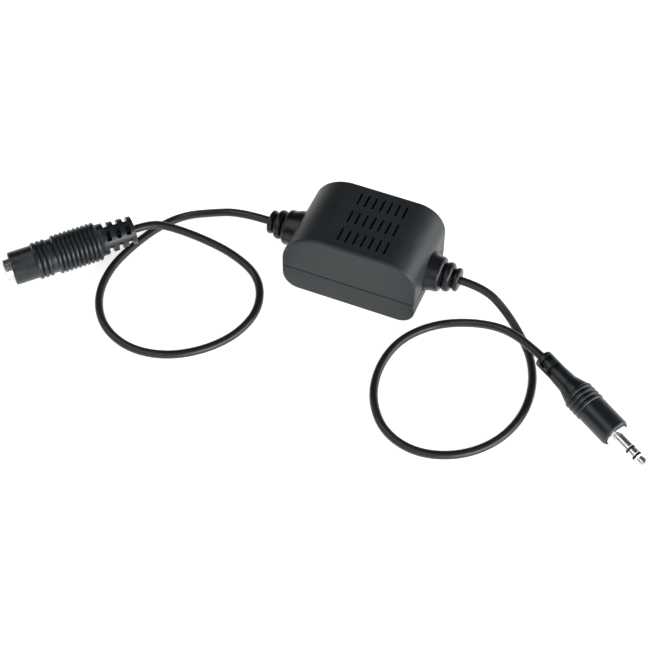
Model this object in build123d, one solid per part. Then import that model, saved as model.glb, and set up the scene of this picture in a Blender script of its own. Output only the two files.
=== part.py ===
from build123d import *
import math
import os

# Ground loop isolator for 3.5 mm audio leads. Millimetres, +Z up. The part lies on z = 0 with
# its housing over the origin, +X towards the plug's lead and -Y towards the louvred front edge.

# Housing: two moulded shells
HOUSING_LENGTH = 47.4
HOUSING_DEPTH = 29.6
HOUSING_HEIGHT = 26.8
INPUT_SHOULDER_RADIUS = 14.2
OUTPUT_SHOULDER_RADIUS = 10.0
FOOT_RADIUS = 5.8
EDGE_ROUND = 0.9
WALL = 1.8
PARTING_HEIGHT = 10.4
SHADOW_GAP = 0.55
SHADOW_DEPTH = 0.5
LIP_HEIGHT = 1.4
LIP_CLEARANCE = 0.1

# Louvre slots in the roof
LOUVRE_ROWS = 3
LOUVRE_COLUMNS = 7
LOUVRE_PITCH = 2.7
LOUVRE_ROW_PITCH = 8.5
LOUVRE_LENGTH = 5.7
LOUVRE_WIDTH = 0.8
LOUVRE_SHIFT = 0.8

# Ribbed strain reliefs, caught in the end walls
RELIEF_HEIGHT = 12.1
RELIEF_REACH = 10.7
RELIEF_BASE_RADIUS = 6.9
RELIEF_TAPER = 0.31
RELIEF_RIB_RADIUS = 6.1
RELIEF_RIBS = 3
RELIEF_RIB_START = 3.3
RELIEF_RIB_PITCH = 3.3
RELIEF_RIB_HALF_WIDTH = 1.4
RELIEF_RIB_ROUND = 0.85
RELIEF_RIB_DEPTH = 1.25
RELIEF_END_RADIUS = 3.1
RELIEF_BODY_INSIDE = 2.6
RELIEF_GROOVE_RADIUS = 5.4
RELIEF_GROOVE_WIDTH = 1.7
RELIEF_FLANGE = 1.6
RELIEF_FLANGE_RADIUS = 6.6
SADDLE_CLEARANCE = 0.1
SADDLE_HALF_WIDTH = 8.6

# Circuit board on four pegged posts
BOARD_END_CLEARANCE = 0.4
BOARD_SIDE_CLEARANCE = 2.0
BOARD_THICKNESS = 1.6
BOARD_BOTTOM = 5.0
POST_RADIUS = 1.6
POST_END_INSET = 5.4
POST_SIDE_INSET = 2.0
PEG_RADIUS = 0.8
PEG_CLEARANCE = 0.1
PEG_STAND_OUT = 0.6

# Two EI 14 audio transformers, which fill the room between the reliefs' inner ends
TRANSFORMER_GAP = 2.0
TRANSFORMER_END_CLEARANCE = 2.4
CORE_STACK = 6.0
CORE_GAP = 0.3
BOBBIN_CLEARANCE = 0.1
BOBBIN_WALL = 0.5
BOBBIN_FLANGE = 0.8
BOBBIN_RAIL = 2.4
WINDING_CLEARANCE = 0.4
TAPE_THICKNESS = 0.15
TAPE_INSET = 0.2
PIN_WIDTH = 0.6
PIN_END_INSET = 1.6
PIN_STAND_OUT = 1.0
PIN_HOLE_CLEARANCE = 0.1
SOLDER_RADIUS = 0.9
SOLDER_HEIGHT = 0.9

# Wires from each lead to the board
WIRE_RADIUS = 0.5
WIRE_SPREAD = 1.3
WIRE_BEND = 0.8
WIRE_LEAD = 1.1
WIRE_PAD_END_INSET = 2.2
WIRE_PAD_SIDE_INSET = 2.4
GROUND_PAD_END_INSET = 1.2

# Leads
CORD_RADIUS = 1.4

# In-line socket, measured from its tail along its axis
SOCKET_TURN = 224.9
SOCKET_TILT = 2.5
SOCKET_TAIL_RADIUS = 4.9
SOCKET_TAIL_FRONT_RADIUS = 5.35
SOCKET_COLLAR_START = 10.1
SOCKET_COLLAR_RADIUS = 5.6
GRIP_START = 12.7
GRIP_END = 28.2
GRIP_RADIUS = 6.8
GRIP_GROOVE = 0.45
GRIP_RIBS = 10
NECK_RADIUS = 5.85
NECK_END = 30.0
FRONT_RIBS = 3
FRONT_RIB_RADIUS = 6.45
FRONT_RIBS_END = 35.3
FRONT_COLLAR_RADIUS = 5.75
SOCKET_FRONT = 43.4
FRONT_ROUND = 0.6
TAIL_ROUND = 0.4
SOCKET_SLOTS = (2.4, 5.85, 9.3)
SOCKET_SLOT_WIDTH = 1.6
SOCKET_WINDOW_ANGLE = 40.0
SOCKET_NOTCH_ANGLE = 98.0
SOCKET_SLOT_ROLL = 37.0
TAIL_CORE_RADIUS = 2.3

# The socket's barrel, insulator and springs
BARREL_STAND_OUT = 2.4
BARREL_RADIUS = 3.95
BARREL_LENGTH = 9.0
BARREL_FLANGE = 1.5
BARREL_FLANGE_RADIUS = 4.6
BORE_RADIUS = 1.8
BORE_LENGTH = 6.5
BORE_RELIEF_RADIUS = 2.0
BORE_CHAMFER = 0.3
INSULATOR_LENGTH = 13.0
INSULATOR_RADIUS = 3.9
INSULATOR_BORE_DEPTH = 7.0
SPRING_THICKNESS = 0.3
SPRING_WIDTH = 1.4
SPRING_LENGTH = 9.0
SPRING_OFFSET = 2.6
SPRING_REACH = 1.6
TIP_SPRING_DEPTH = 12.3
RING_SPRING_DEPTH = 9.9

# Plug, measured from its tail along its axis
PLUG_TURN = -31.5
PLUG_TILT = 3.0
PLUG_TAIL_RADIUS = 3.1
PLUG_REAR_END = 12.4
PLUG_REAR_RADIUS = 3.45
PLUG_CONE_END = 16.8
PLUG_CONE_RADIUS = 4.85
PLUG_RIBS = 4
PLUG_RIBS_END = 23.7
PLUG_RIB_RADIUS = 5.2
PLUG_RIB_DEPTH = 0.45
PLUG_BARREL_RADIUS = 4.95
PLUG_FRONT = 35.0
PLUG_ROUND = 1.1
PLUG_RECESS_RADIUS = 4.15
PLUG_RECESS_DEPTH = 0.5
PLUG_SLOTS = (2.7, 6.2)
PLUG_SLOT_WIDTH = 1.9
PLUG_SLOT_ANGLE = 104.0
PLUG_SLOT_ROLL = -28.0
PLUG_CORE_RADIUS = 2.1

# The plug's pin, to the 3.5 mm standard, measured from its shoulder
PIN_RADIUS = 1.75
SHOULDER_PROUD = 0.5
SHOULDER_RADIUS = 3.8
SHOULDER_THICKNESS = 1.6
SLEEVE_LENGTH = 6.3
RING_START = 7.0
RING_END = 9.3
TIP_START = 10.0
PIN_LENGTH = 14.0
TIP_WAIST_RADIUS = 1.2
TIP_POINT_RADIUS = 0.5
SLEEVE_TAIL_RADIUS = 2.4
SLEEVE_TAIL_LENGTH = 8.0
ROD_RADIUS = 0.6
RING_TUBE_BORE = 0.9
RING_TUBE_RADIUS = 1.15
SLEEVE_BORE = 1.4
ROD_BACK = 6.5
RING_TUBE_BACK = 4.5
PRESS_CLEARANCE = 0.02

RELIEF_END_X = HOUSING_LENGTH / 2 + RELIEF_REACH

# Where each connector's tail lies: as high as its tilt asks with its lowest edge on z = 0
SOCKET_TAIL = (-77.76, -18.35, GRIP_RADIUS * math.cos(math.radians(SOCKET_TILT))
               + GRIP_END * math.sin(math.radians(SOCKET_TILT)))
PLUG_TAIL = (68.85, -16.15, PLUG_BARREL_RADIUS * math.cos(math.radians(PLUG_TILT))
             + (PLUG_FRONT - PLUG_ROUND) * math.sin(math.radians(PLUG_TILT)))
SOCKET_LEAD_IN = 6.3
PLUG_LEAD_IN = 2.0

# The leads' routes, chosen by eye from the photograph: out of the relief, down to the surface,
# round one loop and over their own start. The last two points lie on the connector's axis.
INPUT_ROUTE = [
    (-RELIEF_END_X, 0, RELIEF_HEIGHT), (-45.5, 0, RELIEF_HEIGHT), (-57.5, 0.2, 6.4),
    (-67.2, -0.8, 2.0), (-73.5, -8.4, 1.4), (-77.8, -19.9, 1.4), (-80.4, -32.3, 1.4),
    (-78.4, -45.4, 1.4), (-70.8, -56.0, 1.4), (-58.6, -61.1, 1.4), (-45.5, -59.0, 1.4),
    (-34.5, -51.1, 1.4), (-27.5, -40.3, 1.4), (-26.0, -27.8, 1.4), (-31.8, -16.1, 1.5),
    (-43.6, -11.4, 3.3), (-56.4, -11.0, 5.8), (-67.6, -11.8, 7.3),
]
OUTPUT_ROUTE = [
    (RELIEF_END_X, 0, RELIEF_HEIGHT), (43.0, 0, RELIEF_HEIGHT), (51.5, -2.2, 6.8),
    (59.2, -7.0, 1.9), (64.8, -14.0, 1.4), (68.9, -24.6, 1.4), (69.5, -37.6, 1.4),
    (64.8, -50.3, 1.4), (55.2, -59.5, 1.4), (42.6, -63.3, 1.4), (30.6, -59.5, 1.4),
    (22.6, -49.1, 1.4), (19.8, -36.4, 1.4), (22.0, -23.0, 1.4), (30.7, -12.3, 1.5),
    (43.4, -8.6, 4.3), (55.7, -11.0, 8.8),
]


def revolved(points):
    """A solid of revolution about X from (distance, radius) points of its half section."""
    outline = Polyline(*points, close=True)
    return revolve(make_face(outline), axis=Axis.X)


def rod(start, end, radius):
    """A round bar along X."""
    return Pos(start, 0, 0) * extrude(Plane.YZ * Circle(radius), amount=end - start)


def block(x_range, y_range, z_range):
    """A box from its limits along each axis."""
    sizes = [high - low for low, high in (x_range, y_range, z_range)]
    middle = [(high + low) / 2 for low, high in (x_range, y_range, z_range)]
    return Pos(*middle) * Box(*sizes)


def rounded_corner(outline, corner, radius):
    """The outline with the vertex nearest to a corner point rounded."""
    nearest = min(outline.vertices(), key=lambda vertex: (Vector(*vertex) - Vector(*corner)).length)
    return fillet(nearest, radius)


def housing_block(inset):
    """The housing's outer form, moved in by inset all round and sharp along its two faces."""
    half_length = HOUSING_LENGTH / 2 - inset
    top = HOUSING_HEIGHT - inset
    outline = Pos(0, HOUSING_HEIGHT / 2) * Rectangle(2 * half_length, top - inset)
    outline = rounded_corner(outline, (-half_length, inset), FOOT_RADIUS - inset)
    outline = rounded_corner(outline, (half_length, inset), FOOT_RADIUS - inset)
    outline = rounded_corner(outline, (-half_length, top), INPUT_SHOULDER_RADIUS - inset)
    outline = rounded_corner(outline, (half_length, top), OUTPUT_SHOULDER_RADIUS - inset)
    return extrude(Plane.XZ * outline, amount=HOUSING_DEPTH / 2 - inset, both=True)


def housing_form():
    """The housing's outer form with the rounds along its front and back faces."""
    form = housing_block(0)
    for end in (0, -1):
        face = form.faces().sort_by(Axis.Y)[end]
        form = fillet(face.edges(), EDGE_ROUND)
    return form


def band(low, high):
    """Everything between two heights."""
    reach = HOUSING_LENGTH
    return block((-reach, reach), (-reach, reach), (low, high))


def relief_inner_end():
    """How far from the middle the output relief's flange ends inside the housing."""
    return HOUSING_LENGTH / 2 - RELIEF_BODY_INSIDE - RELIEF_GROOVE_WIDTH - RELIEF_FLANGE


def relief_seat(clearance):
    """The room that one relief takes in the output end wall, as a stepped bar."""
    wall_x = HOUSING_LENGTH / 2
    body_x = wall_x - RELIEF_BODY_INSIDE
    seat = rod(body_x - clearance, wall_x + WALL, RELIEF_BASE_RADIUS + clearance)
    seat += rod(body_x - RELIEF_GROOVE_WIDTH, wall_x, RELIEF_GROOVE_RADIUS + clearance)
    return Pos(0, 0, RELIEF_HEIGHT) * seat


def saddle():
    """The plate across the cavity that sits in one relief's groove."""
    groove_x = HOUSING_LENGTH / 2 - RELIEF_BODY_INSIDE - RELIEF_GROOVE_WIDTH
    plate = block(
        (groove_x + SADDLE_CLEARANCE, groove_x + RELIEF_GROOVE_WIDTH - SADDLE_CLEARANCE),
        (-SADDLE_HALF_WIDTH, SADDLE_HALF_WIDTH),
        (0, HOUSING_HEIGHT),
    )
    hole = Pos(0, 0, RELIEF_HEIGHT) * rod(0, HOUSING_LENGTH, RELIEF_GROOVE_RADIUS + SADDLE_CLEARANCE)
    return plate - hole


def both_ends(piece):
    """A piece at the output end and its copy turned to the input end."""
    return piece + Rot(0, 0, 180) * piece


def housing_walls():
    """The hollow housing before it is parted, with its saddles and the holes for the reliefs."""
    inner = housing_block(WALL)
    walls = housing_form() - inner
    walls += both_ends(saddle()) & inner
    return walls - both_ends(relief_seat(SADDLE_CLEARANCE))


def lip(outer_inset, height):
    """The lip that stands up from the lower shell's inner half wall."""
    ring = housing_block(outer_inset) - housing_block(WALL)
    ring &= band(PARTING_HEIGHT, PARTING_HEIGHT + height)
    return ring - both_ends(relief_seat(WALL))


def louvres():
    """The slots through the roof, in rows along X and long in Y."""
    flat_left = -HOUSING_LENGTH / 2 + INPUT_SHOULDER_RADIUS
    flat_right = HOUSING_LENGTH / 2 - OUTPUT_SHOULDER_RADIUS
    middle_x = (flat_left + flat_right) / 2 + LOUVRE_SHIFT
    slot = extrude(Rot(0, 0, 90) * SlotOverall(LOUVRE_LENGTH, LOUVRE_WIDTH), amount=2 * WALL)
    places = GridLocations(LOUVRE_PITCH, LOUVRE_ROW_PITCH, LOUVRE_COLUMNS, LOUVRE_ROWS)
    field = [place * slot for place in places]
    return Pos(middle_x, 0, HOUSING_HEIGHT - 1.5 * WALL) * Compound(field)


def board_half_sizes():
    """Half the board's length, between the reliefs' inner ends, and half its width."""
    half_length = relief_inner_end() - BOARD_END_CLEARANCE
    return half_length, HOUSING_DEPTH / 2 - WALL - BOARD_SIDE_CLEARANCE


def post_places():
    """Where the board's posts stand."""
    half_length, half_width = board_half_sizes()
    return GridLocations(2 * (half_length - POST_END_INSET), 2 * (half_width - POST_SIDE_INSET), 2, 2)


def upper_shell(walls):
    shell = walls & band(PARTING_HEIGHT, 2 * HOUSING_HEIGHT)
    shell -= lip(WALL / 2 - LIP_CLEARANCE, LIP_HEIGHT + LIP_CLEARANCE)
    return shell - louvres()


def lower_shell(walls):
    shell = walls & band(-HOUSING_HEIGHT, PARTING_HEIGHT)
    groove = housing_form() - housing_block(SHADOW_DEPTH)
    shell -= groove & band(PARTING_HEIGHT - SHADOW_GAP, PARTING_HEIGHT)
    shell += lip(WALL / 2, LIP_HEIGHT)
    floor = WALL
    for place in post_places():
        post = Pos(0, 0, floor) * extrude(Circle(POST_RADIUS), amount=BOARD_BOTTOM - floor)
        peg_length = BOARD_THICKNESS + PEG_STAND_OUT
        peg = Pos(0, 0, BOARD_BOTTOM) * extrude(Circle(PEG_RADIUS), amount=peg_length)
        shell += place * (post + peg)
    return shell


def relief_crest(number):
    """Distance along the axis and radius of one rib's crest."""
    step = number * RELIEF_RIB_PITCH
    return HOUSING_LENGTH / 2 + RELIEF_RIB_START + step, RELIEF_RIB_RADIUS - RELIEF_TAPER * step


def strain_relief():
    """One ribbed relief at the output end, turned about the axis of its lead."""
    wall_x = HOUSING_LENGTH / 2
    groove_out = wall_x - RELIEF_BODY_INSIDE
    groove_in = groove_out - RELIEF_GROOVE_WIDTH
    inner_end = relief_inner_end()
    base_end = wall_x + RELIEF_RIB_START - RELIEF_RIB_HALF_WIDTH
    base_radius = RELIEF_BASE_RADIUS - RELIEF_TAPER * (base_end - wall_x)
    edges = [
        Polyline(
            (inner_end, 0), (inner_end, RELIEF_FLANGE_RADIUS), (groove_in, RELIEF_FLANGE_RADIUS),
            (groove_in, RELIEF_GROOVE_RADIUS), (groove_out, RELIEF_GROOVE_RADIUS),
            (groove_out, RELIEF_BASE_RADIUS), (wall_x, RELIEF_BASE_RADIUS), (base_end, base_radius),
        )
    ]
    foot = (base_end, base_radius)
    for number in range(RELIEF_RIBS - 1):
        crest_x, crest = relief_crest(number)
        next_x, next_crest = relief_crest(number + 1)
        side = (crest_x + RELIEF_RIB_HALF_WIDTH, crest - RELIEF_RIB_ROUND)
        groove = (crest + next_crest) / 2 - RELIEF_RIB_DEPTH
        next_side = (next_x - RELIEF_RIB_HALF_WIDTH, next_crest - RELIEF_RIB_ROUND)
        edges.append(ThreePointArc(foot, (crest_x, crest), side))
        edges.append(Polyline(side, (side[0], groove), (next_side[0], groove), next_side))
        foot = next_side
    end = (wall_x + RELIEF_REACH, RELIEF_END_RADIUS)
    edges.append(ThreePointArc(foot, relief_crest(RELIEF_RIBS - 1), end))
    edges.append(Polyline(end, (end[0], 0), (inner_end, 0)))
    section = make_face(Wire(Curve() + edges))
    return Pos(0, 0, RELIEF_HEIGHT) * revolve(section, axis=Axis.X)


def board_top():
    return BOARD_BOTTOM + BOARD_THICKNESS


def core_limb():
    """The cores' middle limb: two cores, their gap and their end clearances fill the room."""
    room = 2 * relief_inner_end() - TRANSFORMER_GAP - 2 * TRANSFORMER_END_CLEARANCE
    return room / 6


def transformer_x():
    """How far each transformer's middle lies from the housing's middle."""
    return (TRANSFORMER_GAP + 3 * core_limb()) / 2


def pin_places():
    """Where the six pins of one transformer pass through the board."""
    rail_y = CORE_STACK / 2 + BOBBIN_CLEARANCE + BOBBIN_RAIL / 2
    return GridLocations(core_limb() - PIN_END_INSET, 2 * rail_y, 3, 2)


def wire_pads(side):
    """The three solder pads of one lead, on the side -1 or +1."""
    half_length, half_width = board_half_sizes()
    pad_x = side * (half_length - WIRE_PAD_END_INSET)
    pad_y = half_width - WIRE_PAD_SIDE_INSET
    return [(pad_x, -pad_y), (side * (half_length - GROUND_PAD_END_INSET), 0), (pad_x, pad_y)]


def circuit_board():
    half_length, half_width = board_half_sizes()
    board = block((-half_length, half_length), (-half_width, half_width), (BOARD_BOTTOM, board_top()))
    through = 2 * BOARD_THICKNESS
    start = BOARD_BOTTOM - BOARD_THICKNESS / 2
    for place in post_places():
        board -= place * Pos(0, 0, start) * extrude(Circle(PEG_RADIUS + PEG_CLEARANCE), amount=through)
    hole_width = PIN_WIDTH + 2 * PIN_HOLE_CLEARANCE
    for side in (-1, 1):
        for place in pin_places():
            hole = extrude(Rectangle(hole_width, hole_width), amount=through)
            board -= Pos(side * transformer_x(), 0, start) * place * hole
    return board


def solder_joints():
    """The cone of solder at each pin and under each wire's pad, on the board's underside."""
    cone = Cone(SOLDER_RADIUS, PIN_WIDTH / 2, SOLDER_HEIGHT, align=(Align.CENTER, Align.CENTER, Align.MIN))
    cone = Pos(0, 0, BOARD_BOTTOM) * Rot(180, 0, 0) * cone
    joints = []
    room = PIN_WIDTH + 2 * PRESS_CLEARANCE
    pin_room = Pos(0, 0, BOARD_BOTTOM - SOLDER_HEIGHT) * Box(room, room, 2 * PIN_STAND_OUT + SOLDER_HEIGHT)
    for side in (-1, 1):
        for place in pin_places():
            joints.append(Pos(side * transformer_x(), 0, 0) * place * (cone - pin_room))
        for x, y in wire_pads(side):
            joints.append(Pos(x, y, 0) * cone)
    return Compound(joints)


def core_bottom():
    return board_top() + CORE_GAP


def core():
    """The stack of EI laminations, on the standard pattern of limb, half limbs and yokes."""
    limb = core_limb()
    outer_limb = limb / 2
    width = 3 * limb
    height = 2.5 * limb
    window_width = limb / 2
    window_height = 1.5 * limb
    half_stack = CORE_STACK / 2
    stack = block((-width / 2, width / 2), (-half_stack, half_stack), (0, height))
    for side in (-1, 1):
        middle_x = side * (limb / 2 + window_width / 2)
        window = Pos(middle_x, 0, outer_limb + window_height / 2)
        stack -= window * Box(window_width, 2 * CORE_STACK, window_height)
    return Pos(0, 0, core_bottom()) * stack


def window_range():
    """The lowest and highest z of the core's windows."""
    low = core_bottom() + core_limb() / 2
    return low, low + 1.5 * core_limb()


def ring_form(inner_inset, outer_inset, low, high):
    """A rectangular tube round the core's middle limb."""
    outer = Rectangle(core_limb() + 2 * outer_inset, CORE_STACK + 2 * outer_inset)
    inner = Rectangle(core_limb() + 2 * inner_inset, CORE_STACK + 2 * inner_inset)
    return Pos(0, 0, low) * extrude(outer - inner, amount=high - low)


def winding_inset():
    return BOBBIN_CLEARANCE + BOBBIN_WALL


def winding_thickness():
    """What the core's window leaves for the winding under its tape."""
    return core_limb() / 2 - winding_inset() - TAPE_THICKNESS - WINDING_CLEARANCE


def bobbin():
    low, high = window_range()
    low += BOBBIN_CLEARANCE
    high -= BOBBIN_CLEARANCE
    flange = winding_inset() + winding_thickness() + TAPE_THICKNESS + TAPE_INSET
    form = ring_form(BOBBIN_CLEARANCE, winding_inset(), low, high)
    form += ring_form(BOBBIN_CLEARANCE, flange, low, low + BOBBIN_FLANGE)
    form += ring_form(BOBBIN_CLEARANCE, flange, high - BOBBIN_FLANGE, high)
    rail_start = CORE_STACK / 2 + BOBBIN_CLEARANCE
    for side in (-1, 1):
        y_range = sorted((side * rail_start, side * (rail_start + BOBBIN_RAIL)))
        form += block((-core_limb(), core_limb()), y_range, (board_top(), low + BOBBIN_FLANGE))
    for place in pin_places():
        room = PIN_WIDTH + 2 * PRESS_CLEARANCE
        form -= Pos(0, 0, board_top()) * place * Box(room, room, 2 * BOBBIN_RAIL)
    return form


def coil_range():
    """The lowest and highest z that the winding fills between the bobbin's flanges."""
    low, high = window_range()
    margin = BOBBIN_CLEARANCE + BOBBIN_FLANGE
    return low + margin, high - margin


def winding():
    low, high = coil_range()
    return ring_form(winding_inset(), winding_inset() + winding_thickness(), low, high)


def winding_tape():
    low, high = coil_range()
    inner = winding_inset() + winding_thickness()
    return ring_form(inner, inner + TAPE_THICKNESS, low + TAPE_INSET, high - TAPE_INSET)


def pins():
    """Six square pins in the bobbin's rails, down through the board."""
    low = BOARD_BOTTOM - PIN_STAND_OUT
    high = board_top() + BOBBIN_RAIL - PIN_HOLE_CLEARANCE
    pin = Pos(0, 0, low) * extrude(Rectangle(PIN_WIDTH, PIN_WIDTH), amount=high - low)
    return Compound([place * pin for place in pin_places()])


def wire(side, position):
    """One wire from the relief's inner end down to its pad; position is -1, 0 or +1 across."""
    start_x = relief_inner_end()
    pads = wire_pads(1)
    pad_x, pad_y = pads[position + 1]
    start = (start_x, position * WIRE_SPREAD, RELIEF_HEIGHT)
    end = (pad_x, pad_y, board_top())
    if position == 0:
        points = [start, (pad_x, 0, RELIEF_HEIGHT), end]
    else:
        level = (RELIEF_HEIGHT + board_top()) / 2
        bend = (start_x - WIRE_LEAD, start[1], RELIEF_HEIGHT)
        middle = (pads[1][0], (start[1] + pad_y) / 2, level + WIRE_SPREAD)
        points = [start, bend, middle, (pad_x, pad_y, level), end]
    path = FilletPolyline(*points, radius=WIRE_BEND)
    form = sweep(Plane(path @ 0, z_dir=path % 0) * Circle(WIRE_RADIUS), path=path)
    return Rot(0, 0, 0 if side > 0 else 180) * form


def cord_path(route):
    """Straight runs joined by arcs as large as the shorter run beside each point allows."""
    points = [Vector(*point) for point in route]
    radii = []
    for before, here, after in zip(points, points[1:], points[2:]):
        half_turn = math.radians((here - before).get_angle(after - here)) / 2
        shorter = min((here - before).length, (after - here).length)
        radii.append(0.45 * shorter / math.tan(half_turn))
    return FilletPolyline(*points, radius=radii), radii


def cord(name, route):
    path, radii = cord_path(route)
    form = sweep(Plane(path @ 0, z_dir=path % 0) * Circle(CORD_RADIUS), path=path)
    expected = math.pi * CORD_RADIUS ** 2 * path.length
    print(name, "length", round(path.length, 1), "radii", [round(radius, 1) for radius in radii])
    print(name, "volume over section times length", round(form.volume / expected, 4))
    return form


def end_place(tail, turn, tilt):
    """The frame of a connector: origin at its tail, X along its axis and dropping by tilt."""
    return Pos(*tail) * Rot(0, 0, turn) * Rot(0, tilt, 0)


def with_tail(route, place, lead_in):
    """A route that runs into a connector's tail along the connector's own axis."""
    before = (place * Pos(-lead_in, 0, 0)).position
    return route + [tuple(before), tuple(place.position)]


def rib_points(start, end, count, radius, depth):
    """Half section points of equal ridges with flat crests and sloped sides."""
    pitch = (end - start) / count
    points = []
    for number in range(count):
        left = start + number * pitch
        points += [
            (left + 0.1 * pitch, radius - depth), (left + 0.3 * pitch, radius),
            (left + 0.75 * pitch, radius), (left + 0.95 * pitch, radius - depth),
        ]
    return points


def slot_cutter(centre, width, angle, roll, core_radius, outer_radius):
    """Two opposite ring sectors that part a relief's tail into ribs, with webs left between them."""
    half = math.radians(angle / 2)
    reach = 2 * outer_radius
    side = reach * math.tan(half)
    wedge = Polyline((0, 0), (side, reach), (-side, reach), close=True)
    sector = Pos(centre - width / 2, 0, 0) * extrude(Plane.YZ * make_face(wedge), amount=width)
    sector -= rod(centre - width, centre + width, core_radius)
    cutters = []
    for turn in (0, 180):
        cutters.append(Rot(turn - roll, 0, 0) * sector)
    return Compound(cutters)


def socket_body():
    points = [(0, 0), (0, SOCKET_TAIL_RADIUS - TAIL_ROUND), (TAIL_ROUND, SOCKET_TAIL_RADIUS)]
    points += [
        (SOCKET_COLLAR_START, SOCKET_TAIL_FRONT_RADIUS),
        (SOCKET_COLLAR_START, SOCKET_COLLAR_RADIUS),
        (GRIP_START, SOCKET_COLLAR_RADIUS),
    ]
    points += rib_points(GRIP_START, GRIP_END, GRIP_RIBS, GRIP_RADIUS, GRIP_GROOVE)
    points += [(GRIP_END, NECK_RADIUS), (NECK_END, NECK_RADIUS)]
    points += rib_points(NECK_END, FRONT_RIBS_END, FRONT_RIBS, FRONT_RIB_RADIUS, GRIP_GROOVE)
    points += [
        (FRONT_RIBS_END, FRONT_COLLAR_RADIUS),
        (SOCKET_FRONT - FRONT_ROUND, FRONT_COLLAR_RADIUS),
        (SOCKET_FRONT - FRONT_ROUND / 3, FRONT_COLLAR_RADIUS - FRONT_ROUND / 3),
        (SOCKET_FRONT, FRONT_COLLAR_RADIUS - FRONT_ROUND),
        (SOCKET_FRONT, 0),
    ]
    body = revolved(points)
    for centre in SOCKET_SLOTS:
        body -= slot_cutter(centre, SOCKET_SLOT_WIDTH, SOCKET_WINDOW_ANGLE, SOCKET_SLOT_ROLL,
                            TAIL_CORE_RADIUS, SOCKET_TAIL_FRONT_RADIUS)
        body -= slot_cutter(centre, SOCKET_SLOT_WIDTH, SOCKET_NOTCH_ANGLE, SOCKET_SLOT_ROLL + 90,
                            TAIL_CORE_RADIUS, SOCKET_TAIL_FRONT_RADIUS)
    barrel_back = SOCKET_FRONT + BARREL_STAND_OUT - BARREL_LENGTH
    body -= rod(barrel_back, SOCKET_FRONT, BARREL_RADIUS + PRESS_CLEARANCE)
    body -= rod(barrel_back - PRESS_CLEARANCE, barrel_back + BARREL_FLANGE + PRESS_CLEARANCE,
                BARREL_FLANGE_RADIUS + PRESS_CLEARANCE)
    body -= rod(barrel_back - INSULATOR_LENGTH, barrel_back, INSULATOR_RADIUS + PRESS_CLEARANCE)
    return body


def socket_mouth():
    return SOCKET_FRONT + BARREL_STAND_OUT


def socket_bushing():
    """The nickel-plated barrel: a bore for the plug, widened behind, and a flange in the body."""
    mouth = socket_mouth()
    back = mouth - BARREL_LENGTH
    points = [
        (back, BORE_RELIEF_RADIUS), (back, BARREL_FLANGE_RADIUS),
        (back + BARREL_FLANGE, BARREL_FLANGE_RADIUS), (back + BARREL_FLANGE, BARREL_RADIUS),
        (mouth - BORE_CHAMFER, BARREL_RADIUS), (mouth, BARREL_RADIUS - BORE_CHAMFER),
        (mouth, BORE_RADIUS + BORE_CHAMFER), (mouth - BORE_CHAMFER, BORE_RADIUS),
        (mouth - BORE_CHAMFER - BORE_LENGTH, BORE_RADIUS),
        (mouth - BORE_CHAMFER - BORE_LENGTH, BORE_RELIEF_RADIUS),
    ]
    return revolved(points)


def spring_pocket(turn):
    """The slot in the insulator that one spring lies in."""
    back = socket_mouth() - BARREL_LENGTH - INSULATOR_LENGTH
    width = SPRING_WIDTH + 2 * PRESS_CLEARANCE
    pocket = block((back + 1, socket_mouth() - BARREL_LENGTH), (-width / 2, width / 2),
                   (0, SPRING_OFFSET + SPRING_THICKNESS + PRESS_CLEARANCE))
    return Rot(turn, 0, 0) * pocket


def socket_insulator():
    front = socket_mouth() - BARREL_LENGTH
    form = rod(front - INSULATOR_LENGTH, front, INSULATOR_RADIUS)
    form -= rod(front - INSULATOR_BORE_DEPTH, front, BORE_RELIEF_RADIUS)
    for turn in (0, 180):
        form -= spring_pocket(turn)
    return form


def socket_spring(contact_depth, turn):
    """A strip along the pocket's outer wall with a bend that reaches in to touch the plug."""
    contact_x = socket_mouth() - contact_depth
    back = socket_mouth() - BARREL_LENGTH - INSULATOR_LENGTH + 1 + PRESS_CLEARANCE
    front = socket_mouth() - BARREL_LENGTH - PRESS_CLEARANCE
    half_bend = SPRING_OFFSET - SPRING_REACH
    low = SPRING_OFFSET
    high = SPRING_OFFSET + SPRING_THICKNESS
    bend_front = min(contact_x + half_bend, front)
    front_low = SPRING_REACH + (bend_front - contact_x)
    outline = Polyline(
        (back, low), (contact_x - half_bend, low), (contact_x, SPRING_REACH),
        (bend_front, front_low), (bend_front, front_low + SPRING_THICKNESS),
        (contact_x, SPRING_REACH + SPRING_THICKNESS), (contact_x - half_bend, high), (back, high),
        close=True,
    )
    strip = extrude(Plane.XZ * make_face(outline), amount=SPRING_WIDTH / 2, both=True)
    return Rot(turn, 0, 0) * strip


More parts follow.
